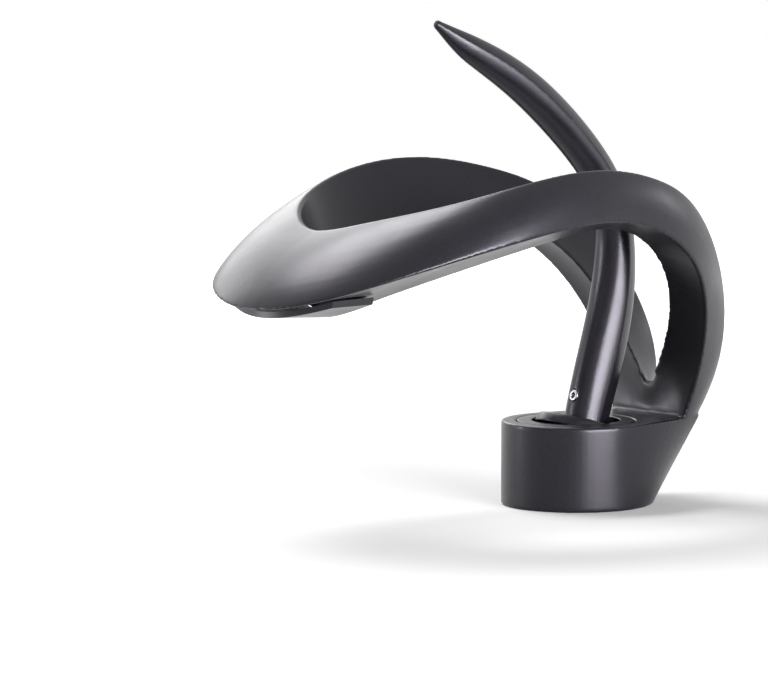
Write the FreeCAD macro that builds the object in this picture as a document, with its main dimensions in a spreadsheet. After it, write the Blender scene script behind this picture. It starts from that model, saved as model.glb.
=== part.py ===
import FreeCAD, Part
import os
import re

import Sketcher
from FreeCAD import Placement, Rotation, Vector

os.makedirs("parts", exist_ok=True)
doc = FreeCAD.newDocument("BasinFaucet")

# Waterfall basin faucet. Millimetres, +Z up, spout towards -Y.
# The origin is the centre of the base's underside, on the basin's deck.

sheet = doc.addObject("Spreadsheet::Sheet", "Dims")

sizes = {
    # base and its bores
    "base_radius": 25,
    "base_height": 28.4,
    "well_depth": 21.4,
    "bore_clearance": 0.2,
    "nut_bore_radius": 19,
    "ring_recess_radius": 20,
    "ring_recess_depth": 3.6,
    # base's outline at the deck and at its top: the two heels, and the flanks before them
    "sole_half_width": 12.5,
    "sole_back": 23.8,
    "sole_flank": 21.5,
    "sole_shoulder": 16.5,
    "sole_valley": -0.6,
    "heel_half_width": 14.6,
    "heel_back": 43,
    "heel_flank": 20.4,
    "heel_shoulder": 31,
    "heel_valley": 4,
    "web_half_width": 6,
    "web_top_half_width": 3,
    "web_rise": 1.2,
    "web_root": 6,
    "web_inset": 1.5,
    "web_lead": 0.3,
    # inlets, clamping stud and gasket in the underside
    "inlet_radius": 4.5,
    "inlet_roof": 1.6,
    "inlet_spacing": 15,
    "inlet_back": 5,
    "port_radius": 2.4,
    "stud_radius": 4,
    "stud_front": 13,
    "stud_roof": 1.5,
    "stud_drop": 52,
    "gasket_radius": 22,
    "gasket_width": 2.8,
    "gasket_thickness": 1.5,
    "seat_gap": 0.1,
    # spout head: the waterway behind the lip, and the plate under it
    "lip_wall": 2.4,
    "slot_width": 3.2,
    "chamber_depth": 25,
    "chamber_rise": 5,
    "chamber_half_width": 28,
    "plate_thickness": 2.4,
    "plate_overlap": 1.8,
    "rim_thickness": 1.6,
    "arm_hollow": 0.6,
    # cartridge, from the floor up
    "cartridge_radius": 17.4,
    "shell_roof": 2,
    "shell_height": 12.6,
    "neck_radius": 11.2,
    "neck_height": 3.6,
    "running_gap": 0.1,
    "seal_radius": 3.4,
    "seal_wire": 1,
    "outlet_front": 6,
    "disc_film": 0.02,
    "guide_lift": 0.2,
    "bottom_plate_lift": 0.2,
    "bottom_plate_thickness": 2,
    "disc_radius": 12.5,
    "fixed_disc_thickness": 2.2,
    "moving_disc_radius": 9.6,
    "moving_disc_thickness": 1.8,
    "carrier_radius": 8.8,
    "carrier_thickness": 2.2,
    "pocket_radius": 5,
    "pocket_depth": 0.8,
    "guide_radius": 9.4,
    "guide_flange_radius": 12.5,
    "guide_flange_thickness": 1.8,
    "guide_rise": 4.4,
    "pin_radius": 1,
    "pin_length": 17,
    "pin_clearance": 0.05,
    "pin_fit": 0.01,
    "limit_ring_radius": 12.8,
    "limit_ring_thickness": 1.8,
    "limit_gap_width": 6,
    "nut_wall": 2.75,
    "nut_height": 4.9,
    "nut_notch_width": 3.2,
    "nut_notch_depth": 1.6,
    "nut_clearance": 0.1,
    "trim_hole_radius": 14.8,
    "trim_hole_flare": 1,
    "trim_gap": 0.25,
    # lever: it tilts about the pivot, and stands open at rest
    "pivot_sink": 6.4,
    "open_tilt": 16,
    "foot_sphere_radius": 15,
    "foot_height": 6.4,
    "foot_skirt": 3,
    "foot_wall": 1.5,
    "foot_roof": 1.4,
    "foot_round": 1,
    "stem_width": 7.6,
    "stem_front": 2.2,
    "stem_back": 4.2,
    "stem_height": 15,
    "stem_foot": 2.6,
    "stem_clearance": 0.1,
    "slot_side_gap": 0.3,
    "slot_front": 6,
    "slot_back": 7,
    "ball_arm": 7,
    "ball_radius": 1.7,
    "ball_clearance": 0.1,
    "shank_radius": 1.4,
    "screw_radius": 2,
    "screw_length": 3,
    "screw_height": 13.8,
    "screw_socket": 1.15,
    "screw_socket_depth": 1.8,
    "screw_clearance": 0.05,
    "least_cut": 0.01,
    "edge_tolerance": 0.01,
    # clamp under the deck
    "deck_thickness": 20,
    "rubber_thickness": 3,
    "clamp_thickness": 2.5,
    "horseshoe_radius": 21,
    "horseshoe_slot": 13,
    "horseshoe_back": 8,
    "stud_clearance": 0.3,
    "stud_chamfer": 0.8,
    "thread_gap": 0.05,
    "nut_across_flats": 13,
    "clamp_nut_height": 12,
    # loop and horn: how wide, how far out and how high, from the base's top and the pivot
    "loop_half_width": 56,
    "loop_reach": 136,
    "loop_rise": 86.5,
    "horn_reach": 94.2,
    "horn_rise": 118.1,
}

# Stations round the loop, from the lip at the front to the heel inside the base. Each has
# its thin upper ridge, its outer edge and its inner edge, and how far its outer face swells
# in millimetres. An edge is given in hundredths of the loop's half width, of its reach (back
# from the base's axis) and of its rise (up from the base's top).
stations = {
    "lip": ((0, -79.41, 79.19), (0, -100, 51.45), (0, -71.32, 49.13), 3.4),
    "hood": ((44.64, -71.32, 84.97), (57.14, -93.38, 57.23), (30.36, -64.71, 56.07), 3.1),
    "cheek": ((76.79, -54.41, 93.06), (89.29, -75, 67.63), (51.79, -49.26, 65.32), 2.3),
    "shoulder": ((87.5, -33.82, 100), (100, -50, 76.88), (62.5, -30.15, 73.41), 2),
    "crown": ((82.14, -9.56, 98.84), (94.64, -22.06, 81.5), (58.93, -10.29, 76.88), 1.6),
    "bend": ((66.07, 12.5, 87.28), (82.14, 2.94, 72.25), (46.43, 7.35, 67.63), 1.6),
    "leg": ((48.21, 28.97, 60.69), (62.5, 19.85, 46.82), (30.36, 19.12, 44.51), 1),
    "notch": ((27.68, 35.88, 17.92), (36.79, 24.19, 6.36), (1.43, 23.53, 11.33), 0.9),
    "heel": ((22.32, 26.84, -9.25), (30.36, 19.49, -9.25), (-6.25, 25.44, -8.67), 0.8),
}
for station, (ridge, outer, inner, swell) in stations.items():
    for edge, point in (("ridge", ridge), ("outer", outer), ("inner", inner)):
        for axis, value in zip(("side", "back", "up"), point):
            sizes[f"{station}_{edge}_{axis}"] = value
    sizes[f"{station}_swell"] = swell

# Stations up the lever's horn, in the plane of symmetry, from the pivot with the lever
# upright: back in hundredths of its reach, up in hundredths of its rise, and in millimetres
# its half breadth at the side creases, its depth in front of them and its depth behind.
hornStations = {
    "root": (3.5, 4.49, 7, 8, 8),
    "shank": (3.93, 22.86, 7.2, 9, 8.5),
    "waist": (3.4, 39.54, 7.4, 8.5, 8),
    "knee": (-0.85, 56.14, 7.2, 7, 7),
    "rise": (-10.83, 71.55, 6.6, 7, 5.5),
    "bow": (-28.24, 81.63, 6.6, 7, 5.5),
    "reach": (-50, 89.84, 6.4, 7, 5.5),
    "taper": (-74.2, 95.77, 5, 6.4, 4.3),
    "tip": (-100, 100, 2.2, 2.7, 1.9),
}
for station, values in hornStations.items():
    for name, value in zip(("back", "up", "breadth", "front", "rear"), values):
        sizes[f"horn_{station}_{name}"] = value

for row, (name, value) in enumerate(sizes.items(), 1):
    sheet.set(f"A{row}", name)
    sheet.set(f"B{row}", str(value))
    sheet.setAlias(f"B{row}", name)
doc.recompute()


def bound(text):
    # an expression whose names are pointed at the sheet
    return re.sub(r"\b[a-z]+(?:_[a-z]+)+\b", r"Dims.\g<0>", text)


def number(text):
    # the value that an expression on the sheet has now
    return float(sheet.evalExpression(bound(text)))


def bind(item, **links):
    for prop, text in links.items():
        item.setExpression(prop, bound(text))
    return item


def place(item, x="0", y="0", z="0"):
    # puts an item at a place whose coordinates are bound to the sheet
    for axis, text in zip("xyz", (x, y, z)):
        item.setExpression(f"Placement.Base.{axis}", bound(text))
    return item


def cylinder(name, radius, height, x="0", y="0", z="0"):
    item = bind(doc.addObject("Part::Cylinder", name), Radius=radius, Height=height)
    return place(item, x, y, z)


def box(name, length, width, height, x, y, z):
    item = bind(doc.addObject("Part::Box", name), Length=length, Width=width, Height=height)
    return place(item, x, y, z)


def fuse(name, pieces):
    item = doc.addObject("Part::MultiFuse", name)
    item.Shapes = pieces
    item.Refine = False
    return item


def cut(name, base, tools):
    item = doc.addObject("Part::Cut", name)
    item.Base = base
    item.Tool = tools[0] if len(tools) == 1 else fuse(f"{name}_tools", tools)
    return item


def solid(name, shape):
    item = doc.addObject("Part::Feature", name)
    item.Shape = shape
    return item


def newBody(name):
    return doc.addObject("PartDesign::Body", name)


def newSketch(body, name, role):
    # a sketch on one of the body's own origin planes
    sketch = body.newObject("Sketcher::SketchObject", name)
    plane = next(item for item in body.Origin.OriginFeatures if item.Role == role)
    sketch.AttachmentSupport = [(plane, "")]
    sketch.MapMode = "FlatFace"
    return sketch


def fixPoint(sketch, geometry, end, x, y):
    # ties one point of a sketch to the sheet, on both axes
    for kind, axis, text in (("DistanceX", -2, x), ("DistanceY", -1, y)):
        if text == "0":
            sketch.addConstraint(Sketcher.Constraint("PointOnObject", geometry, end, axis))
            continue
        rule = Sketcher.Constraint(kind, -1, 1, geometry, end, number(text))
        index = sketch.addConstraint(rule)
        sketch.setExpression(f"Constraints[{index}]", bound(text))


def outline(sketch, corners):
    # a closed outline of straight sides through corners given as expressions
    points = [Vector(number(x), number(y), 0) for x, y in corners]
    count = len(points)
    for i in range(count):
        sketch.addGeometry(Part.LineSegment(points[i], points[(i + 1) % count]))
    for i in range(count):
        sketch.addConstraint(Sketcher.Constraint("Coincident", i, 2, (i + 1) % count, 1))
    for i, (x, y) in enumerate(corners):
        fixPoint(sketch, i, 1, x, y)


def circle(sketch, radius, x="0", y="0"):
    centre = Vector(number(x), number(y), 0)
    index = sketch.addGeometry(Part.Circle(centre, Vector(0, 0, 1), number(radius)))
    rule = sketch.addConstraint(Sketcher.Constraint("Radius", index, number(radius)))
    sketch.setExpression(f"Constraints[{rule}]", bound(radius))
    if x == "0" and y == "0":
        sketch.addConstraint(Sketcher.Constraint("Coincident", index, 3, -1, 1))
    else:
        fixPoint(sketch, index, 3, x, y)


def revolved(name, corners):
    # a body turned from a half section: radius and height of each corner
    body = newBody(name)
    sketch = newSketch(body, f"{name}_section", "XZ_Plane")
    outline(sketch, corners)
    turn = body.newObject("PartDesign::Revolution", f"{name}_turned")
    turn.Profile = sketch
    turn.ReferenceAxis = (sketch, ["V_Axis"])
    turn.Angle = 360
    sketch.Visibility = False
    doc.recompute()
    return body


def pocket(body, name, role, lift, draw, depth):
    # cuts a sketched hole towards the origin from a plane lifted off an origin plane, and
    # makes sure that it took material away
    before = body.Shape.Volume
    sketch = newSketch(body, f"{name}_sketch", role)
    sketch.AttachmentOffset = Placement(Vector(0, 0, number(lift)), Rotation())
    sketch.setExpression("AttachmentOffset.Base.z", bound(lift))
    draw(sketch)
    item = body.newObject("PartDesign::Pocket", name)
    item.Profile = sketch
    item.setExpression("Length", bound(depth))
    doc.recompute()
    assert body.Shape.Volume < before - number("least_cut"), name
    return item


def bezier(*poles):
    curve = Part.BezierCurve()
    curve.setPoles(list(poles))
    return curve.toShape()


# ---- the loop, the head and the base: one casting


def corner(station, edge, sign=1):
    side = number(f"{station}_{edge}_side / 100 * loop_half_width")
    back = number(f"{station}_{edge}_back / 100 * loop_reach")
    up = number(f"{station}_{edge}_up / 100 * loop_rise + base_height")
    return Vector(sign * side, back, up)


def armSection(station, sign):
    # a triangle with a narrow rim on its ridge, a full outer face and slightly hollow others
    ridge, outer, inner = (corner(station, edge, sign) for edge in ("ridge", "outer", "inner"))
    across = (inner - outer).normalize() * (number("rim_thickness") / 2)
    rimOut = ridge - across
    rimIn = ridge + across
    outMid = (rimOut + outer) / 2
    lowMid = (outer + inner) / 2
    inMid = (inner + rimIn) / 2
    outwards = (outMid - inner).normalize() * (2 * number(f"{station}_swell"))
    hollowUp = (ridge - lowMid).normalize() * (2 * number("arm_hollow"))
    hollowOut = (outer - inMid).normalize() * (2 * number("arm_hollow"))
    return Part.Wire([
        bezier(rimOut, outMid + outwards, outer),
        bezier(outer, lowMid + hollowUp, inner),
        bezier(inner, inMid + hollowOut, rimIn),
        bezier(rimIn, ridge, rimOut),
    ])


# The loft starts beyond the plane of symmetry, so that both arms meet there without a crease.
order = list(stations)
sections = [armSection(station, -1) for station in ("shoulder", "cheek", "hood")]
sections += [armSection(station, 1) for station in order]
beyond = 2 * number("loop_reach")
trim = Part.makeBox(beyond, beyond, beyond, Vector(-beyond, corner("crown", "inner").y - beyond, 0))
rightArm = solid("right_arm", Part.makeLoft(sections, True, False).cut(trim))
leftArm = doc.addObject("Part::Mirroring", "left_arm")
leftArm.Source = rightArm
leftArm.Base = Vector(0, 0, 0)
leftArm.Normal = Vector(1, 0, 0)


def footWire(height, level):
    # a level outline of the base: round in front, with two heels at the back
    radius = number("base_radius")
    side, back, flank, shoulder, valley = (
        number(f"{level}_{name}") for name in ("half_width", "back", "flank", "shoulder", "valley"))
    right, heelRight, flankRight = (
        Vector(x, y, height) for x, y in ((radius, 0), (side, back), (flank, shoulder)))
    left, heelLeft, flankLeft = (
        Vector(-point.x, point.y, height) for point in (right, heelRight, flankRight))
    ahead = Vector(0, back / 3, 0)
    return Part.Wire([
        Part.Arc(left, Vector(0, -radius, height), right).toShape(),
        bezier(right, right + ahead, flankRight, heelRight),
        bezier(heelRight, Vector(0, back - 2 * valley, height), heelLeft),
        bezier(heelLeft, flankLeft, left + ahead, left),
    ])


foot = solid("foot_blank", Part.makeLoft([
    footWire(0, "sole"),
    footWire(number("base_height"), "heel"),
], True, True))


def edgeCurve(edge):
    # an edge of the loop across the head, with the lip at parameter 0
    points = [corner(name, edge, -1) for name in ("cheek", "hood")]
    points += [corner(name, edge) for name in ("lip", "hood", "cheek")]
    curve = Part.BSplineCurve()
    curve.interpolate(Points=points, Parameters=[-2, -1, 0, 1, 2])
    return curve


headEdges = {edge: edgeCurve(edge) for edge in ("ridge", "outer", "inner")}


def headSection(share, corners):
    # a polygon in the head's section at a share of the way to the hood's station; each
    # corner is given from the outer edge: along the underside, and up from it
    ridge, outer, inner = (headEdges[edge].value(share) for edge in ("ridge", "outer", "inner"))
    along = (inner - outer).normalize()
    up = ridge - outer
    up = (up - along * up.dot(along)).normalize()
    points = [outer + along * a + up * b for a, b in corners]
    return Part.makePolygon(points + points[:1])


def headLoft(halfWidth, corners):
    span = halfWidth / corner("hood", "outer").x
    shares = [span * step / 3 for step in range(-3, 4)]
    return Part.makeLoft([headSection(share, corners) for share in shares], True, False)


def webWire(height, halfWidth, front, back):
    # a level section of the wall between the legs
    corners = [(-halfWidth, front), (halfWidth, front), (halfWidth, back), (-halfWidth, back)]
    points = [Vector(x, y, height) for x, y in corners]
    return Part.makePolygon(points + points[:1])


# the wall that joins the legs low down, and closes the notch's foot
notchFoot = corner("notch", "inner")
webLead = number("web_lead")
webBack = corner("heel", "ridge").y - number("web_inset")
web = solid("leg_web", Part.makeLoft([
    webWire(number("base_height - web_root"), number("web_half_width"),
            corner("heel", "inner").y - webLead, webBack),
    webWire(notchFoot.z + number("web_rise"), number("web_top_half_width"),
            notchFoot.y - webLead, webBack),
], True, True))

lipWall = number("lip_wall")
chamberDepth = number("chamber_depth")
chamberRise = number("chamber_rise")
plateThickness = number("plate_thickness")
seatGap = number("seat_gap")
plateFront = lipWall + number("slot_width")
plateBack = lipWall + chamberDepth + number("plate_overlap")
chamber = solid("head_chamber", headLoft(number("chamber_half_width"), [
    (lipWall, -plateThickness),
    (lipWall + chamberRise, chamberRise),
    (lipWall + chamberDepth, chamberRise),
    (lipWall + chamberDepth, -plateThickness),
]))
plate = solid("spout_plate", headLoft(number("chamber_half_width + plate_overlap"), [
    (plateFront, -plateThickness - seatGap),
    (plateFront, -seatGap - number("arm_hollow") / 2),
    (plateBack, -seatGap),
    (plateBack, -plateThickness - seatGap),
]))

# the heights that hang from the base's top, with the depths of the holes under the floor
floor = "base_height - well_depth"
shellTop = f"{floor} + shell_height"
pivot = "base_height - pivot_sink"
inletDepth = f"{floor} - inlet_roof"
studGrip = f"{floor} - stud_roof"

bodyTools = [
    cylinder("cartridge_bore", "cartridge_radius + bore_clearance", "base_height", z=floor),
    cylinder("nut_bore", "nut_bore_radius", "base_height", z=f"{shellTop} - bore_clearance"),
    cylinder("ring_recess", "ring_recess_radius", "base_height", z="base_height - ring_recess_depth"),
    cylinder("stud_hole", "stud_radius + thread_gap", studGrip, y="-stud_front"),
    chamber,
]
for side, sign in (("cold", ""), ("hot", "-")):
    x = f"{sign}inlet_spacing / 2"
    bodyTools.append(cylinder(f"{side}_inlet", "inlet_radius", inletDepth, x=x, y="inlet_back"))
    bodyTools.append(cylinder(f"{side}_port", "port_radius", f"{floor} + bore_clearance",
                              x=x, y="inlet_back"))
gasketGroove = cut("gasket_groove", cylinder("gasket_groove_outer", "gasket_radius + gasket_width / 2",
                                             "gasket_thickness + seat_gap"),
                   [cylinder("gasket_groove_inner", "gasket_radius - gasket_width / 2",
                             "gasket_thickness + seat_gap")])
bodyTools.append(gasketGroove)
doc.recompute()
shell = foot
for piece in (rightArm, leftArm, web):
    shell = fuse(f"foot_with_{piece.Name}", [shell, piece])
faucetBody = cut("faucet_body", shell, bodyTools)
doc.recompute()

# ---- the lever: everything here is drawn upright about the pivot, then leant back

leverFrame = Placement(Vector(0, 0, number(pivot)),
                       Rotation(Vector(1, 0, 0), -number("open_tilt")))


def lean(item):
    item.Placement = leverFrame.multiply(item.Placement)
    return item


def hornPoint(station):
    back = number(f"horn_{station}_back / 100 * horn_reach")
    return Vector(0, back, number(f"horn_{station}_up / 100 * horn_rise"))


def hornSection(station, axis):
    # a rounded front and a flatter back that meet in a crease at each side
    breadth, front, rear = (number(f"horn_{station}_{name}") for name in ("breadth", "front", "rear"))
    centre = hornPoint(station)
    side = Vector(breadth, 0, 0)
    backwards = Vector(0, axis.z, -axis.y)
    ahead = backwards * (-front * 4 / 3)
    behind = backwards * (rear * 2)
    return Part.Wire([
        bezier(centre + side, centre + side + ahead, centre - side + ahead, centre - side),
        bezier(centre - side, centre + behind, centre + side),
    ])


hornNames = list(hornStations)
hornPath = Part.BSplineCurve()
hornPath.interpolate(Points=[hornPoint(name) for name in hornNames],
                     Parameters=list(range(len(hornNames))))
hornSections = [hornSection(name, hornPath.tangent(i)[0]) for i, name in enumerate(hornNames)]
horn = solid("horn_blank", Part.makeLoft(hornSections, True, False))

# the foot is a zone of a ball about the pivot, so its gap to the trim ring never changes
ball = bind(doc.addObject("Part::Sphere", "foot_ball"), Radius="foot_sphere_radius")
zone = doc.addObject("Part::Common", "foot_zone")
zone.Base = ball
zone.Tool = cylinder("foot_slab", "foot_sphere_radius", "foot_height - foot_skirt", z="foot_skirt")
doc.recompute()
topEdges = [
    (i + 1, number("foot_round"), number("foot_round"))
    for i, edge in enumerate(zone.Shape.Edges)
    if abs(edge.BoundBox.ZMin - number("foot_height")) < number("edge_tolerance")
    and edge.BoundBox.ZLength < number("edge_tolerance")
]
roundedFoot = doc.addObject("Part::Fillet", "foot_rounded")
roundedFoot.Base = zone
roundedFoot.Edges = topEdges
footHollow = cylinder("foot_hollow", "foot_sphere_radius - foot_wall", "foot_height - foot_roof")
footCup = cut("foot_cup", roundedFoot, [footHollow])
doc.recompute()
leverBlank = fuse("lever_blank", [footCup, horn])
socket = box("stem_socket", "stem_width + 2 * stem_clearance", "stem_front + stem_back + 2 * stem_clearance",
             "stem_height + stem_clearance", "-stem_width / 2 - stem_clearance",
             "-stem_front - stem_clearance", "0")
screwHole = cylinder("screw_hole", "screw_radius + screw_clearance", "4 * screw_length", z="screw_height")
screwHole.Placement.Rotation = Rotation(Vector(1, 0, 0), 90)
lever = lean(cut("lever_handle", cut("lever_socketed", leverBlank, [socket]), [screwHole]))
doc.recompute()

# ---- the stem, its pin and the grub screw


def stemBlank():
    # a flat-sided stem, a thin shank below the pivot and a ball at its end
    upper = box("stem_upper", "stem_width", "stem_front + stem_back", "stem_height + stem_foot",
                "-stem_width / 2", "-stem_front", "-stem_foot")
    shank = cylinder("stem_shank", "shank_radius", "ball_arm", z="-ball_arm")
    end = bind(doc.addObject("Part::Sphere", "stem_ball"), Radius="ball_radius")
    place(end, z="-ball_arm")
    return fuse("stem_blank", [upper, shank, end])


pinHole = cylinder("stem_pin_hole", "pin_radius + pin_clearance", "pin_length", x="-pin_length / 2")
pinHole.Placement.Rotation = Rotation(Vector(0, 1, 0), 90)
stem = lean(cut("spindle", stemBlank(), [pinHole]))

pinBlank = cylinder("pin_blank", "pin_radius", "pin_length", x="-pin_length / 2", z=pivot)
pinBlank.Placement.Rotation = Rotation(Vector(0, 1, 0), 90)
doc.recompute()
pinEnds = [
    (i + 1, number("pin_radius / 4"), number("pin_radius / 4"))
    for i, edge in enumerate(pinBlank.Shape.Edges)
    if edge.BoundBox.XLength < number("edge_tolerance")
]
pin = doc.addObject("Part::Chamfer", "spindle_pin")
pin.Base = pinBlank
pin.Edges = pinEnds

screw = newBody("grub_screw")
screwSketch = newSketch(screw, "screw_section", "XY_Plane")
circle(screwSketch, "screw_radius")
screwPad = screw.newObject("PartDesign::Pad", "screw_shank")
screwPad.Profile = screwSketch
screwPad.setExpression("Length", bound("screw_length"))
doc.recompute()


def drawHexagon(sketch, radius):
    # a regular hexagon on a construction circle
    size = number(radius)
    corners = [Rotation(Vector(0, 0, 1), 60 * i).multVec(Vector(size, 0, 0)) for i in range(6)]
    ring = sketch.addGeometry(Part.Circle(Vector(0, 0, 0), Vector(0, 0, 1), size), True)
    sketch.addConstraint(Sketcher.Constraint("Coincident", ring, 3, -1, 1))
    rule = sketch.addConstraint(Sketcher.Constraint("Radius", ring, size))
    sketch.setExpression(f"Constraints[{rule}]", bound(radius))
    sides = [sketch.addGeometry(Part.LineSegment(corners[i], corners[(i + 1) % 6])) for i in range(6)]
    for i, side in enumerate(sides):
        sketch.addConstraint(Sketcher.Constraint("Coincident", side, 2, sides[(i + 1) % 6], 1))
        sketch.addConstraint(Sketcher.Constraint("PointOnObject", side, 1, ring))
        if i:
            sketch.addConstraint(Sketcher.Constraint("Equal", sides[0], side))
    sketch.addConstraint(Sketcher.Constraint("PointOnObject", sides[0], 1, -1))


pocket(screw, "screw_hexagon", "XY_Plane", "screw_length",
       lambda sketch: drawHexagon(sketch, "screw_socket"), "screw_socket_depth")
screw.Placement = leverFrame.multiply(
    Placement(Vector(0, -number("stem_front"), number("screw_height")), Rotation(Vector(1, 0, 0), 90)))

# ---- cartridge

plateFloor = f"{floor} + bottom_plate_lift"
discFloor = f"{plateFloor} + bottom_plate_thickness"
movingFloor = f"{discFloor} + fixed_disc_thickness + disc_film"
carrierFloor = f"{movingFloor} + moving_disc_thickness"
guideFloor = f"{carrierFloor} + carrier_thickness + guide_lift"
ports = [("-inlet_spacing / 2", "inlet_back"), ("inlet_spacing / 2", "inlet_back"), ("0", "-outlet_front")]


def drilledDisc(name, radius, floor, thickness, holes):
    # a round plate with drilled holes: radius and centre of each
    body = newBody(name)
    sketch = newSketch(body, f"{name}_outline", "XY_Plane")
    circle(sketch, radius)
    pad = body.newObject("PartDesign::Pad", f"{name}_pad")
    pad.Profile = sketch
    pad.setExpression("Length", bound(thickness))
    body.setExpression("Placement.Base.z", bound(floor))
    doc.recompute()
    if holes:
        pocket(body, f"{name}_holes", "XY_Plane", thickness,
               lambda target: [circle(target, *hole) for hole in holes], thickness)
    return body


portHoles = [("port_radius", x, y) for x, y in ports]
bottomPlate = drilledDisc("cartridge_base", "cartridge_radius", plateFloor,
                          "bottom_plate_thickness", portHoles)


def drawSeats(sketch):
    for x, y in ports:
        circle(sketch, "seal_radius + seal_wire / 2 + running_gap", x, y)


pocket(bottomPlate, "seal_seats", "XY_Plane", "seal_wire - bottom_plate_lift", drawSeats,
       "seal_wire - bottom_plate_lift")
seals = []
for i, (x, y) in enumerate(ports):
    seal = bind(doc.addObject("Part::Torus", f"seal_{i}"), Radius1="seal_radius", Radius2="seal_wire / 2")
    seals.append(place(seal, x, y, f"{floor} + seal_wire / 2"))
portSeals = fuse("port_seals", seals)
fixedDisc = drilledDisc("fixed_disc", "disc_radius", discFloor, "fixed_disc_thickness", portHoles)

# the mixing disc and its driver lie as far forward as the stem's ball is at rest
ballForward = "-ball_arm * sin(open_tilt * 1 deg)"
movingDisc = drilledDisc("moving_disc", "moving_disc_radius", movingFloor, "moving_disc_thickness", [])
pocket(movingDisc, "mixing_pocket", "XY_Plane", "pocket_depth",
       lambda sketch: circle(sketch, "pocket_radius"), "pocket_depth")
carrier = drilledDisc("disc_carrier", "carrier_radius", carrierFloor, "carrier_thickness",
                      [("ball_radius + ball_clearance",)])
for item in (movingDisc, carrier):
    item.setExpression("Placement.Base.y", bound(ballForward))

innerRadius = "disc_radius + running_gap"
boreRadius = "guide_radius + running_gap"
housing = revolved("cartridge_housing", [
    (innerRadius, discFloor),
    ("cartridge_radius", discFloor),
    ("cartridge_radius", shellTop),
    ("neck_radius", shellTop),
    ("neck_radius", f"{shellTop} + neck_height"),
    (boreRadius, f"{shellTop} + neck_height"),
    (boreRadius, f"{shellTop} - shell_roof"),
    (innerRadius, f"{shellTop} - shell_roof"),
])
guideTop = f"{shellTop} + guide_rise"
guide = revolved("spindle_guide", [
    ("0", guideFloor),
    ("guide_flange_radius", guideFloor),
    ("guide_flange_radius", f"{guideFloor} + guide_flange_thickness"),
    ("guide_radius", f"{guideFloor} + guide_flange_thickness"),
    ("guide_radius", guideTop),
    ("0", guideTop),
])


def drawSlot(sketch):
    half = "stem_width / 2 + slot_side_gap"
    outline(sketch, [(f"-({half})", "-slot_front"), (half, "-slot_front"),
                     (half, "slot_back"), (f"-({half})", "slot_back")])


pocket(guide, "stem_slot", "XY_Plane", guideTop, drawSlot, "shell_height + guide_rise")
pocket(guide, "pin_hole", "YZ_Plane", "cartridge_radius",
       lambda sketch: circle(sketch, "pin_radius + pin_fit", "0", pivot), "2 * cartridge_radius")

limitRing = revolved("limit_ring", [
    ("neck_radius + running_gap", shellTop),
    ("limit_ring_radius", shellTop),
    ("limit_ring_radius", f"{shellTop} + limit_ring_thickness"),
    ("neck_radius + running_gap", f"{shellTop} + limit_ring_thickness"),
])


def drawGap(sketch):
    half = "limit_gap_width / 2"
    outline(sketch, [(f"-{half}", "neck_radius / 2"), (half, "neck_radius / 2"),
                     (half, "cartridge_radius"), (f"-{half}", "cartridge_radius")])


pocket(limitRing, "ring_opening", "XY_Plane", f"{shellTop} + limit_ring_thickness", drawGap,
       "limit_ring_thickness")

nutOuter = "nut_bore_radius - nut_clearance"
nut = revolved("retaining_nut", [
    (f"{nutOuter} - nut_wall", shellTop),
    (nutOuter, shellTop),
    (nutOuter, f"{shellTop} + nut_height"),
    (f"{nutOuter} - nut_wall", f"{shellTop} + nut_height"),
])


def drawNotch(sketch):
    half = "nut_notch_width / 2"
    outline(sketch, [(f"-{half}", "neck_radius"), (half, "neck_radius"),
                     (half, "base_radius"), (f"-{half}", "base_radius")])


notch = pocket(nut, "nut_notch", "XY_Plane", f"{shellTop} + nut_height", drawNotch, "nut_notch_depth")
notches = nut.newObject("PartDesign::PolarPattern", "nut_notches")
notches.Originals = [notch]
notches.Axis = (notch.Profile[0], ["N_Axis"])
notches.Angle = 360
notches.Occurrences = 4
nut.Tip = notches

ringFloor = "base_height - ring_recess_depth"
trimRing = revolved("trim_ring", [
    ("trim_hole_radius + trim_hole_flare", ringFloor),
    ("ring_recess_radius - trim_gap", ringFloor),
    ("ring_recess_radius - trim_gap", "base_height"),
    ("trim_hole_radius", "base_height"),
])
gasket = revolved("base_gasket", [
    ("gasket_radius - gasket_width / 2 + running_gap", "0"),
    ("gasket_radius + gasket_width / 2 - running_gap", "0"),
    ("gasket_radius + gasket_width / 2 - running_gap", "gasket_thickness"),
    ("gasket_radius - gasket_width / 2 + running_gap", "gasket_thickness"),
])

# ---- clamp under the deck

stud = revolved("mounting_stud", [
    ("0", "0"),
    ("stud_radius - stud_chamfer", "0"),
    ("stud_radius", "stud_chamfer"),
    ("stud_radius", f"stud_drop + {studGrip} - stud_chamfer"),
    ("stud_radius - stud_chamfer", f"stud_drop + {studGrip}"),
    ("0", f"stud_drop + {studGrip}"),
])
place(stud, y="-stud_front", z="-stud_drop")


def horseshoe(name, thickness, drop):
    # a round plate, open at the back for the two hoses, with a hole for the stud
    body = drilledDisc(name, "horseshoe_radius", f"-({drop}) - {thickness}", thickness,
                       [("stud_radius + stud_clearance", "0", "-stud_front")])

    def drawRound(sketch):
        circle(sketch, "horseshoe_slot", "0", "horseshoe_back")

    def drawMouth(sketch):
        outline(sketch, [("-horseshoe_slot", "horseshoe_back"), ("horseshoe_slot", "horseshoe_back"),
                         ("horseshoe_slot", "2 * horseshoe_radius"),
                         ("-horseshoe_slot", "2 * horseshoe_radius")])

    pocket(body, f"{name}_round", "XY_Plane", thickness, drawRound, thickness)
    pocket(body, f"{name}_mouth", "XY_Plane", thickness, drawMouth, thickness)
    return body


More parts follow.
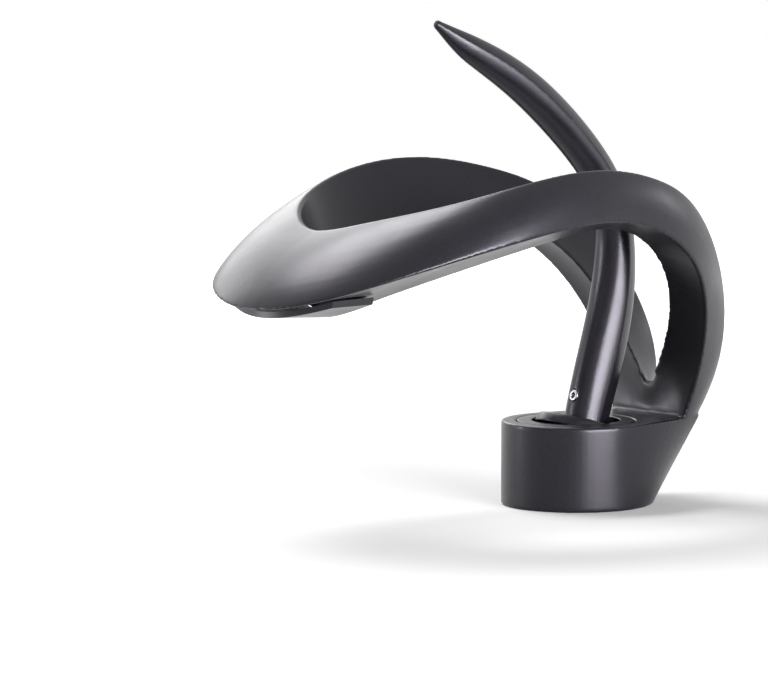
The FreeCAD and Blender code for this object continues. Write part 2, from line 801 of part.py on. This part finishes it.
rubberWasher = horseshoe("rubber_washer", "rubber_thickness", "deck_thickness")
clampPlate = horseshoe("clamp_plate", "clamp_thickness", "deck_thickness + rubber_thickness")
hexagon = bind(doc.addObject("Part::Prism", "clamp_nut_blank"), Circumradius="nut_across_flats / sqrt(3)",
               Height="clamp_nut_height")
hexagon.Polygon = 6
nutDrop = "deck_thickness + rubber_thickness + clamp_thickness + clamp_nut_height"
place(hexagon, y="-stud_front", z=f"-({nutDrop})")
clampNut = cut("mounting_nut", hexagon, [
    cylinder("clamp_nut_thread", "stud_radius + thread_gap", "clamp_nut_height", y="-stud_front",
             z=f"-({nutDrop})")])
doc.recompute()

# ---- checks and files

nodes = [faucetBody, plate, lever, stem, pin, screw, bottomPlate, portSeals, fixedDisc, movingDisc,
         carrier, housing, guide, limitRing, nut, trimRing, gasket, stud, rubberWasher, clampPlate, clampNut]
for item in doc.Objects:
    assert "Invalid" not in item.State and "Error" not in item.State, item.Name
    if item.TypeId == "Part::Cut":
        taken = item.Base.Shape.common(item.Tool.Shape).Volume
        left = item.Base.Shape.Volume - taken
        assert abs(item.Shape.Volume - left) < number("least_cut") * taken, item.Name
    if item.TypeId == "Part::MultiFuse":
        largest = max(piece.Shape.Volume for piece in item.Shapes)
        assert item.Shape.Volume >= largest, item.Name
for item in nodes:
    item.Label = item.Name
    shape = item.Shape
    assert not shape.isNull() and shape.isValid(), item.Name
    print(f"{item.Label:20s} {len(shape.Solids)} solids {shape.Volume:10.1f} mm3")
for item in nodes:
    item.Shape.exportStep(f"parts/{item.Label}.step")
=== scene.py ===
import math

import bmesh
import bpy
from mathutils import Matrix, Vector


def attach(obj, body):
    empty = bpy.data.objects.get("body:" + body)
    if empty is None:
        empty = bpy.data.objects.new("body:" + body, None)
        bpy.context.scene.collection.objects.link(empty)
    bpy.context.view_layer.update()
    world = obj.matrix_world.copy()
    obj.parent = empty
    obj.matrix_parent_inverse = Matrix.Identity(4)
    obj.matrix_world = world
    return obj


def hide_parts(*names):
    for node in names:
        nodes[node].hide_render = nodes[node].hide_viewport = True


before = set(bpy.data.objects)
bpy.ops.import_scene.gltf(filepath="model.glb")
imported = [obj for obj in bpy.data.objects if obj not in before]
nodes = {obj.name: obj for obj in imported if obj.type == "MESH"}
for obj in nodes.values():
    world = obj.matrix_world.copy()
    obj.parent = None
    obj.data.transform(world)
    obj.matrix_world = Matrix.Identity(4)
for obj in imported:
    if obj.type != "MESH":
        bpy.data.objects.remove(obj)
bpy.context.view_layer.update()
scene = bpy.context.scene
scene.view_settings.view_transform = "Standard"


# ---- materials

def linearColour(text):
    # an sRGB hex colour as the linear one that shaders take
    parts = [int(text[i:i + 2], 16) / 255 for i in (1, 3, 5)]
    return [p / 12.92 if p <= 0.04045 else ((p + 0.055) / 1.055) ** 2.4 for p in parts] + [1]


def addNode(tree, kind, inputs=None, **settings):
    # adds a node; an input is given by name or number, as a value or as a socket to link
    node = tree.nodes.new(kind)
    for name, value in settings.items():
        setattr(node, name, value)
    for key, value in (inputs or {}).items():
        if isinstance(value, bpy.types.NodeSocket):
            tree.links.new(value, node.inputs[key])
        else:
            node.inputs[key].default_value = value
    return node


def newMaterial(name, values):
    # a Principled material with its uniform values on the shader's own sockets
    material = bpy.data.materials.new(name)
    material.use_nodes = True
    tree = material.node_tree
    tree.nodes.clear()
    shader = addNode(tree, "ShaderNodeBsdfPrincipled", values)
    addNode(tree, "ShaderNodeOutputMaterial", {"Surface": shader.outputs["BSDF"]})
    place = addNode(tree, "ShaderNodeTexCoord").outputs["Object"]
    return material, tree, shader, place


def rampBetween(tree, factor, low, high, start, end):
    # a colour ramp between two hex colours, which begins and ends at two values of its factor
    ramp = addNode(tree, "ShaderNodeValToRGB", {"Fac": factor})
    ramp.color_ramp.elements[0].position = start
    ramp.color_ramp.elements[1].position = end
    ramp.color_ramp.elements[0].color = linearColour(low)
    ramp.color_ramp.elements[1].color = linearColour(high)
    return ramp.outputs["Color"]


# a noise keeps mostly between these two values
noiseLow, noiseHigh = 0.3, 0.7


def roughBetween(tree, shader, noise, low, high):
    # lets a noise move the roughness between two values
    rough = addNode(tree, "ShaderNodeMapRange", {
        "Value": noise.outputs["Fac"], "From Min": noiseLow, "From Max": noiseHigh,
        "To Min": low, "To Max": high})
    tree.links.new(rough.outputs["Result"], shader.inputs["Roughness"])


def raiseBy(tree, shader, pattern, strength, heightMm):
    # lets a pattern raise the surface by so many millimetres
    bump = addNode(tree, "ShaderNodeBump", {
        "Height": pattern.outputs["Fac"], "Strength": strength, "Distance": heightMm / 1000})
    tree.links.new(bump.outputs["Normal"], shader.inputs["Normal"])


def noiseOf(tree, place, sizeMm, detail, **inputs):
    # a noise whose clouds are about so many millimetres across
    return addNode(tree, "ShaderNodeTexNoise",
                   {"Vector": place, "Scale": 1000 / sizeMm, "Detail": detail, **inputs})


blackCoat = {
    "grainMm": 0.5,
    "mottleMm": 14,
    "dark": "#08080a",
    "light": "#17161b",
    "rampStart": 0.3,
    "rampEnd": 0.75,
    "sheen": "#f1ecfb",
    "specularLevel": 0.34,
    "roughness": 0.3,
    "roughnessSpread": 0.03,
    "grainHeightMm": 0.012,
    "grainStrength": 0.45,
}


def makeBlackCoat(name, values):
    # Satin black electrophoretic lacquer over a blasted brass casting: near black, with a soft
    # clear sheen and a fine grain where a highlight fades. The blasting is finer than the
    # picture's dots, so it is drawn as coarse as it needs to show.
    material, tree, shader, place = newMaterial(name, {
        "Specular IOR Level": values["specularLevel"], "Specular Tint": linearColour(values["sheen"])})
    grain = noiseOf(tree, place, values["grainMm"], 2.0, Roughness=0.6)
    mottle = noiseOf(tree, place, values["mottleMm"], 3.0)
    colour = rampBetween(tree, grain.outputs["Fac"], values["dark"], values["light"],
                         values["rampStart"], values["rampEnd"])
    tree.links.new(colour, shader.inputs["Base Color"])
    roughBetween(tree, shader, mottle, values["roughness"] - values["roughnessSpread"],
                 values["roughness"] + values["roughnessSpread"])
    raiseBy(tree, shader, grain, values["grainStrength"], values["grainHeightMm"])
    return material


# brass is warm and half bright, plated zinc pale grey, and stainless steel a darker grey;
# centre is the axis of the turning
turnedMetals = {
    "turnedBrass": {"dark": "#c9a155", "light": "#e6c67c", "roughness": 0.26, "feedMm": 0.35,
                    "centre": (0, 0, 0)},
    "turnedNutBrass": {"dark": "#c9a155", "light": "#e6c67c", "roughness": 0.28, "feedMm": 0.35,
                       "centre": (0, -0.013, 0)},
    "zincPlatedStud": {"dark": "#a9adb3", "light": "#cdd1d6", "roughness": 0.3, "feedMm": 0.4,
                       "centre": (0, -0.013, 0)},
    "stainlessSteel": {"dark": "#85878a", "light": "#aeb0b3", "roughness": 0.3, "feedMm": 0.3,
                       "centre": (0, 0, 0)},
}


# what the turned metals share
turning = {
    "waveMm": 314,
    "waviness": 0.6,
    "stainMm": 6.25,
    "stainShare": 0.6,
    "rampStart": 0.2,
    "rampEnd": 0.8,
    "smoother": 0.05,
    "rougher": 0.08,
    "ringStrength": 0.3,
    "ringHeightMm": 0.01,
}


def makeTurnedMetal(name, values):
    # Bare metal turned on a lathe: a clean metallic colour that fine feed rings break up. The
    # feed is finer than the picture's dots, so the rings are drawn as coarse as they need to be.
    # A wave texture of scale 1 has a ring every waveMm.
    material, tree, shader, place = newMaterial(name, {"Metallic": 1.0})
    centred = addNode(tree, "ShaderNodeMapping", {"Vector": place}, vector_type="TEXTURE")
    centred.inputs["Location"].default_value = values["centre"]
    rings = addNode(tree, "ShaderNodeTexWave",
                    {"Vector": centred.outputs["Vector"], "Scale": turning["waveMm"] / values["feedMm"],
                     "Distortion": turning["waviness"], "Detail": 2.0},
                    wave_type="RINGS", rings_direction="Z")
    stain = noiseOf(tree, place, turning["stainMm"], 3.0)
    tint = addNode(tree, "ShaderNodeMix",
                   {0: turning["stainShare"], 2: rings.outputs["Fac"], 3: stain.outputs["Fac"]})
    colour = rampBetween(tree, tint.outputs[0], values["dark"], values["light"],
                         turning["rampStart"], turning["rampEnd"])
    tree.links.new(colour, shader.inputs["Base Color"])
    roughBetween(tree, shader, stain, values["roughness"] - turning["smoother"],
                 values["roughness"] + turning["rougher"])
    raiseBy(tree, shader, rings, turning["ringStrength"], turning["ringHeightMm"])
    return material


# pressed zinc is cloudy and pale, acetal waxy, rubber dull and dark, and lapped alumina a hard
# white with a polished face
mouldedParts = {
    "pressedZincPlate": {"dark": "#9a9da2", "light": "#c2c5c9", "roughness": 0.36, "grainMm": 2.2,
                         "heightMm": 0.01, "metallic": 1.0},
    "mouldedAcetalWhite": {"dark": "#cfcdc6", "light": "#dedcd5", "roughness": 0.38, "grainMm": 0.5,
                           "heightMm": 0.01, "metallic": 0.0},
    "mouldedAcetalGrey": {"dark": "#5c6167", "light": "#6c7178", "roughness": 0.42, "grainMm": 0.5,
                          "heightMm": 0.01, "metallic": 0.0},
    "mouldedAcetalRed": {"dark": "#9c2a22", "light": "#b23a30", "roughness": 0.4, "grainMm": 0.5,
                         "heightMm": 0.01, "metallic": 0.0},
    "epdmRubber": {"dark": "#161616", "light": "#262626", "roughness": 0.72, "grainMm": 0.4,
                   "heightMm": 0.03, "metallic": 0.0},
    "lappedAlumina": {"dark": "#dcdad2", "light": "#e9e7e0", "roughness": 0.12, "grainMm": 0.3,
                      "heightMm": 0.002, "metallic": 0.0},
}


# what the moulded parts share
moulding = {
    "cloudMm": 1000 / 90,
    "grainStrength": 0.4,
    "roughnessShare": 0.1,
}


def makeMoulded(name, values):
    # A moulded, pressed or fired surface: even in colour with a faint cloudiness, and a fine
    # texture from its mould, which is drawn as coarse as it needs to show.
    material, tree, shader, place = newMaterial(name, {"Metallic": values["metallic"]})
    grain = noiseOf(tree, place, values["grainMm"], 2.0)
    cloud = noiseOf(tree, place, moulding["cloudMm"], 3.0)
    colour = rampBetween(tree, cloud.outputs["Fac"], values["dark"], values["light"], noiseLow, noiseHigh)
    tree.links.new(colour, shader.inputs["Base Color"])
    roughBetween(tree, shader, grain, values["roughness"] * (1 - moulding["roughnessShare"]),
                 values["roughness"] * (1 + moulding["roughnessShare"]))
    raiseBy(tree, shader, grain, moulding["grainStrength"], values["heightMm"])
    return material


finishes = {"satinBlackCoat": makeBlackCoat("satinBlackCoat", blackCoat)}
for name, values in turnedMetals.items():
    finishes[name] = makeTurnedMetal(name, values)
for name, values in mouldedParts.items():
    finishes[name] = makeMoulded(name, values)

nodeFinishes = {
    "faucet_body": "satinBlackCoat",
    "spout_plate": "satinBlackCoat",
    "lever_handle": "satinBlackCoat",
    "trim_ring": "satinBlackCoat",
    "grub_screw": "stainlessSteel",
    "spindle": "stainlessSteel",
    "spindle_pin": "stainlessSteel",
    "cartridge_base": "mouldedAcetalGrey",
    "cartridge_housing": "mouldedAcetalGrey",
    "port_seals": "epdmRubber",
    "fixed_disc": "lappedAlumina",
    "moving_disc": "lappedAlumina",
    "disc_carrier": "mouldedAcetalWhite",
    "spindle_guide": "mouldedAcetalWhite",
    "limit_ring": "mouldedAcetalRed",
    "retaining_nut": "turnedBrass",
    "base_gasket": "epdmRubber",
    "mounting_stud": "zincPlatedStud",
    "rubber_washer": "epdmRubber",
    "clamp_plate": "pressedZincPlate",
    "mounting_nut": "turnedNutBrass",
}
for name, finish in nodeFinishes.items():
    slots = nodes[name].data.materials
    slots.clear()
    slots.append(finishes[finish])
print("stage: materials")


# ---- pieces that stand for CAD nodes

def addPiece(name, work, finish, body, *replaced):
    # turns a bmesh into a piece that rides on a body and stands for CAD nodes by name
    mesh = bpy.data.meshes.new(name)
    work.to_mesh(mesh)
    work.free()
    mesh.materials.append(finishes[finish])
    piece = bpy.data.objects.new(name, mesh)
    scene.collection.objects.link(piece)
    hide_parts(*replaced)
    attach(piece, body)
    return piece


# the end of the horn, and how it is slimmed and drawn out over its reach
hornTip = {
    "end": (0, -0.058, 0.1615),
    "axis": (0, -0.9, 0.43),
    "reach": 0.016,
    "slimming": 0.42,
    "drawOut": 0.0022,
}

# an eased zone is a box by two corners, and how many times more what lies in it is smoothed
castings = {
    "loopCasting": {
        "node": "faucet_body", "body": "base", "tip": None,
        "voxelMm": 0.42, "softenings": 9, "triangles": 190000,
        "easedZones": {
            "notchFoot": ((-0.009, 0.026, 0.0286), (0.009, 0.038, 0.0425), 60),
            "wallFoot": ((-0.017, 0.026, 0.0272), (0.017, 0.037, 0.0306), 30),
        },
    },
    "leverCasting": {
        "node": "lever_handle", "body": "lever", "tip": hornTip,
        "voxelMm": 0.3, "softenings": 2, "triangles": 130000,
        "easedZones": {
            "hornEnd": ((-0.004, -0.063, 0.15), (0.004, -0.055, 0.17), 12),
        },
    },
}

# corners nearer than this are one: of a CAD mesh, whose faces come apart, and of a spun seam
cadMerge = 0.000001
seamMerge = 0.0000001


def soften(work, verts, times):
    for _ in range(times):
        bmesh.ops.smooth_vert(work, verts=verts, factor=0.5,
                              use_axis_x=True, use_axis_y=True, use_axis_z=True)


def drawTip(work, values):
    # draws the horn's end out to a blunt, slimmer tip, as polishing leaves it
    end = Vector(values["end"])
    axis = Vector(values["axis"]).normalized()
    for vert in work.verts:
        along = (vert.co - end).dot(axis)
        if along < -values["reach"] or vert.co.z < end.z - values["reach"]:
            continue
        share = min(1, (along + values["reach"]) / values["reach"]) ** 2
        spine = end + axis * along
        vert.co = spine + (vert.co - spine) * (1 - values["slimming"] * share)
        vert.co += axis * (values["drawOut"] * share)


def meshAsSeen(thing):
    # a new mesh of an object as its modifiers leave it
    return bpy.data.meshes.new_from_object(thing.evaluated_get(bpy.context.evaluated_depsgraph_get()))


def makeCasting(name, values):
    # a casting with the soft edges that polishing and lacquer leave: a merged copy of its solid,
    # remade in small even faces, which are then smoothed a little
    work = bmesh.new()
    work.from_mesh(nodes[values["node"]].data)
    bmesh.ops.remove_doubles(work, verts=work.verts, dist=cadMerge)
    rough = bpy.data.meshes.new(f"{name}Rough")
    work.to_mesh(rough)
    work.free()
    blank = bpy.data.objects.new(f"{name}Blank", rough)
    scene.collection.objects.link(blank)
    remesh = blank.modifiers.new("evenFaces", "REMESH")
    remesh.mode = "VOXEL"
    remesh.voxel_size = values["voxelMm"] / 1000
    even = meshAsSeen(blank)
    work = bmesh.new()
    work.from_mesh(even)
    soften(work, work.verts, values["softenings"])
    for lowest, highest, times in values["easedZones"].values():
        inZone = [vert for vert in work.verts
                  if all(low < place < high for low, place, high in zip(lowest, vert.co, highest))]
        soften(work, inZone, times)
    if values["tip"]:
        drawTip(work, values["tip"])
    work.to_mesh(even)
    work.free()
    # fewer faces, taken mostly where it is flat
    blank.modifiers.clear()
    blank.data = even
    fewer = blank.modifiers.new("fewerFaces", "DECIMATE")
    fewer.ratio = min(1, values["triangles"] / (2 * len(even.polygons)))
    light = meshAsSeen(blank)
    work = bmesh.new()
    work.from_mesh(light)
    for face in work.faces:
        face.smooth = True
    bpy.data.objects.remove(blank)
    for mesh in (rough, even, light):
        bpy.data.meshes.remove(mesh)
    return addPiece(name, work, "satinBlackCoat", values["body"], values["node"])


for name, values in castings.items():
    casting = makeCasting(name, values)
    print("stage:", name, len(casting.data.polygons), "faces")


ringValues = {
    "holeRadius": 0.0148,
    "holeFlare": 0.001,
    "outerRadius": 0.01975,
    "top": 0.0284,
    "thickness": 0.0036,
    "edgeRound": 0.00035,
    "edgeAngle": 0.5,
    "edgeSteps": 3,
    "steps": 128,
}


def spinSection(section, steps, smooth=True):
    # a closed turned shape from the corners of its section, as radius and height
    work = bmesh.new()
    verts = [work.verts.new((radius, 0, height)) for radius, height in section]
    edges = [work.edges.new((verts[i], verts[(i + 1) % len(verts)])) for i in range(len(verts))]
    bmesh.ops.spin(work, geom=verts + edges, cent=(0, 0, 0), axis=(0, 0, 1), dvec=(0, 0, 0),
                   angle=2 * math.pi, steps=steps, use_merge=True, use_duplicate=False)
    bmesh.ops.remove_doubles(work, verts=work.verts, dist=seamMerge)
    bmesh.ops.recalc_face_normals(work, faces=work.faces)
    for face in work.faces:
        face.smooth = smooth
    return work


def bevelSharp(work, width, angle, segments):
    # rounds the edges that turn by more than an angle
    sharp = [edge for edge in work.edges if edge.is_manifold and edge.calc_face_angle() > angle]
    bmesh.ops.bevel(work, geom=sharp, offset=width, offset_type="OFFSET", affect="EDGES",
                    segments=segments, profile=0.5, material=-1, clamp_overlap=True)
    for face in work.faces:
        face.smooth = True


def makeTrimRing(values):
    # flat ring with eased rims, its hole flared downwards to clear the lever's foot
    bottom = values["top"] - values["thickness"]
    work = spinSection([
        (values["holeRadius"] + values["holeFlare"], bottom),
        (values["outerRadius"], bottom),
        (values["outerRadius"], values["top"]),
        (values["holeRadius"], values["top"]),
    ], values["steps"])
    bevelSharp(work, values["edgeRound"], values["edgeAngle"], values["edgeSteps"])
    addPiece("trimRing", work, "satinBlackCoat", "base", "trim_ring")


makeTrimRing(ringValues)
print("stage: trim ring")


screwValues = {
    "radius": 0.002,
    "length": 0.003,
    "socketRadius": 0.00115,
    "socketDepth": 0.0018,
    "rim": 0.0003,
    "sides": 30,
    "edgeRound": 0.00006,
    "edgeAngle": 0.6,
    "edgeSteps": 2,
    "front": 0.0022,
    "height": 0.0138,
    "pivotHeight": 0.022,
    "openTilt": 16,
}


def makeGrubScrew(values):
    # socket set screw: six-sided socket, flat face, chamfered rim and a plain shank
    work = bmesh.new()
    sides = values["sides"]

    def circle(segments, radius, height, capped=False):
        return bmesh.ops.create_circle(work, cap_ends=capped, segments=segments, radius=radius,
                                       matrix=Matrix.Translation((0, 0, height)))["verts"]

    hexagon = circle(6, values["socketRadius"], values["length"])
    face = circle(sides, values["radius"] - values["rim"], values["length"])
    rim = circle(sides, values["radius"], values["length"] - values["rim"])
    foot = circle(sides, values["radius"], 0, capped=True)
    floor = circle(6, values["socketRadius"], values["length"] - values["socketDepth"], capped=True)
    for inner, outer in ((floor, hexagon), (hexagon, face), (face, rim), (rim, foot)):
        loops = [edge for edge in work.edges
                 if all(vert in inner for vert in edge.verts) or all(vert in outer for vert in edge.verts)]
        bmesh.ops.bridge_loops(work, edges=loops)
    bmesh.ops.recalc_face_normals(work, faces=work.faces)
    bevelSharp(work, values["edgeRound"], values["edgeAngle"], values["edgeSteps"])
    # lying forward in the upright lever, which then leans back about its pivot
    stand = Matrix.Translation((0, -values["front"], values["height"]))
    stand = stand @ Matrix.Rotation(math.pi / 2, 4, "X")
    leant = Matrix.Translation((0, 0, values["pivotHeight"]))
    leant = leant @ Matrix.Rotation(-math.radians(values["openTilt"]), 4, "X")
    bmesh.ops.transform(work, matrix=leant @ stand, verts=work.verts)
    addPiece("grubScrew", work, "stainlessSteel", "lever", "grub_screw")


makeGrubScrew(screwValues)
print("stage: grub screw")


studValues = {
    "radius": 0.004,
    "rootRadius": 0.0034,
    "pitch": 0.00125,
    "front": 0.013,
    "low": -0.052,
    "length": 0.0575,
    "plainEnd": 0.0008,
    "steps": 32,
}


def makeStud(values):
    # threaded stud: V threads at their real pitch between two short ends of the root's width
    turns = int((values["length"] - 2 * values["plainEnd"]) / values["pitch"])
    start = values["low"] + (values["length"] - turns * values["pitch"]) / 2
    section = [(0, values["low"]), (values["rootRadius"], values["low"])]
    for turn in range(turns):
        section.append((values["rootRadius"], start + turn * values["pitch"]))
        section.append((values["radius"], start + (turn + 0.5) * values["pitch"]))
    top = values["low"] + values["length"]
    section += [(values["rootRadius"], top), (0, top)]
    work = spinSection(section, values["steps"], smooth=False)
    bmesh.ops.translate(work, vec=(0, -values["front"], 0), verts=work.verts)
    addPiece("threadedStud", work, "zincPlatedStud", "base", "mounting_stud")


makeStud(studValues)
print("stage: stud")


# ---- floor, light and camera

stageValues = {
    "floorSize": 12,
    "floorColour": "#e6e6e6",
    "floorRoughness": 0.9,
    "floorSpecular": 0.1,
    "ambient": 0.2,
    "litRadius": 0.25,
    "farRadius": 0.9,
    "farGlow": 0.8,
}


def seenRays(tree):
    # 1 for a camera, glossy or transmission ray, and 0 for those that only carry light
    path = addNode(tree, "ShaderNodeLightPath")
    seen = path.outputs["Is Camera Ray"]
    for kind in ("Is Glossy Ray", "Is Transmission Ray"):
        seen = addNode(tree, "ShaderNodeMath", {0: seen, 1: path.outputs[kind]},
                       operation="MAXIMUM").outputs[0]
    return seen


def makeFloor(values):
    # a plain pale floor at the deck's height, which the camera sees as white outside the shadow
    work = bmesh.new()
    bmesh.ops.create_grid(work, x_segments=1, y_segments=1, size=values["floorSize"] / 2)
    mesh = bpy.data.meshes.new("floor")
    work.to_mesh(mesh)
    work.free()
    floor = bpy.data.objects.new("floor", mesh)
    scene.collection.objects.link(floor)
    material, tree, shader, place = newMaterial("matteFloor", {
        "Base Color": linearColour(values["floorColour"]), "Roughness": values["floorRoughness"],
        "Specular IOR Level": values["floorSpecular"], "Emission Color": linearColour("#ffffff")})
    # far from the object, where the lamps don't reach, camera and glossy rays find it white
    away = addNode(tree, "ShaderNodeVectorMath", {0: place}, operation="LENGTH")
    far = addNode(tree, "ShaderNodeMapRange",
                  {"Value": away.outputs["Value"], "From Min": values["litRadius"],
                   "From Max": values["farRadius"], "To Max": values["farGlow"]},
                  interpolation_type="SMOOTHSTEP")
    glow = addNode(tree, "ShaderNodeMath", {0: far.outputs["Result"], 1: seenRays(tree)},
                   operation="MULTIPLY")
    tree.links.new(glow.outputs[0], shader.inputs["Emission Strength"])
    mesh.materials.append(material)


makeFloor(stageValues)

world = bpy.data.worlds.new("studio")
scene.world = world
world.use_nodes = True
tree = world.node_tree
tree.nodes.clear()
level = addNode(tree, "ShaderNodeMapRange",
                {"Value": seenRays(tree), "To Min": stageValues["ambient"], "To Max": 1.0})
back = addNode(tree, "ShaderNodeBackground",
               {"Color": linearColour("#ffffff"), "Strength": level.outputs["Result"]})
addNode(tree, "ShaderNodeOutputWorld", {"Surface": back.outputs["Background"]})

# soft boxes, placed where the photo's highlights mirror them
lamps = {
    "topBox": {"place": (-0.70, -0.14, 1.06), "aim": (0, -0.09, 0.09), "size": (0.9, 0.5), "power": 14},
    "sideBox": {"place": (-1.08, 0.06, 0.56), "aim": (0, -0.09, 0.09), "size": (1.1, 0.5), "power": 5.5},
    "lowBox": {"place": (0.95, 0, 0.15), "aim": (0, 0, 0.03), "size": (0.8, 0.28), "power": 24},
    "leftBox": {"place": (-0.68, -0.72, 0.15), "aim": (0, 0, 0.03), "size": (0.16, 0.28), "power": 2},
    "rearBox": {"place": (0.23, 1.15, 0.31), "aim": (0.045, 0, 0.105), "size": (0.3, 0.12), "power": 0.5},
}
for name, values in lamps.items():
    light = bpy.data.lights.new(name, "AREA")
    light.shape = "RECTANGLE"
    light.size, light.size_y = values["size"]
    light.energy = values["power"]
    lamp = bpy.data.objects.new(name, light)
    lamp.location = values["place"]
    away = Vector(values["place"]) - Vector(values["aim"])
    lamp.rotation_mode = "QUATERNION"
    lamp.rotation_quaternion = away.to_track_quat("Z", "Y")
    scene.collection.objects.link(lamp)

# the camera as fitted to the photo
camera = {
    "azimuth": 50,
    "elevation": 7.7,
    "distance": 1.5,
    "aim": (0, -0.08115, 0.05845),
    "focalPixels": 4448,
    "framePixels": 768,
    "sensorMm": 36,
}
turn = math.radians(camera["azimuth"])
rise = math.radians(camera["elevation"])
eye = bpy.data.objects.new("camera", bpy.data.cameras.new("camera"))
eye.location = camera["distance"] * Vector((
    math.sin(turn) * math.cos(rise), -math.cos(turn) * math.cos(rise), math.sin(rise)))
eye.rotation_mode = "QUATERNION"
eye.rotation_quaternion = (Vector(camera["aim"]) - eye.location).to_track_quat("-Z", "Y")
eye.data.sensor_width = camera["sensorMm"]
eye.data.lens = camera["focalPixels"] / camera["framePixels"] * eye.data.sensor_width
scene.collection.objects.link(eye)
scene.camera = eye
print("stage: light and camera")
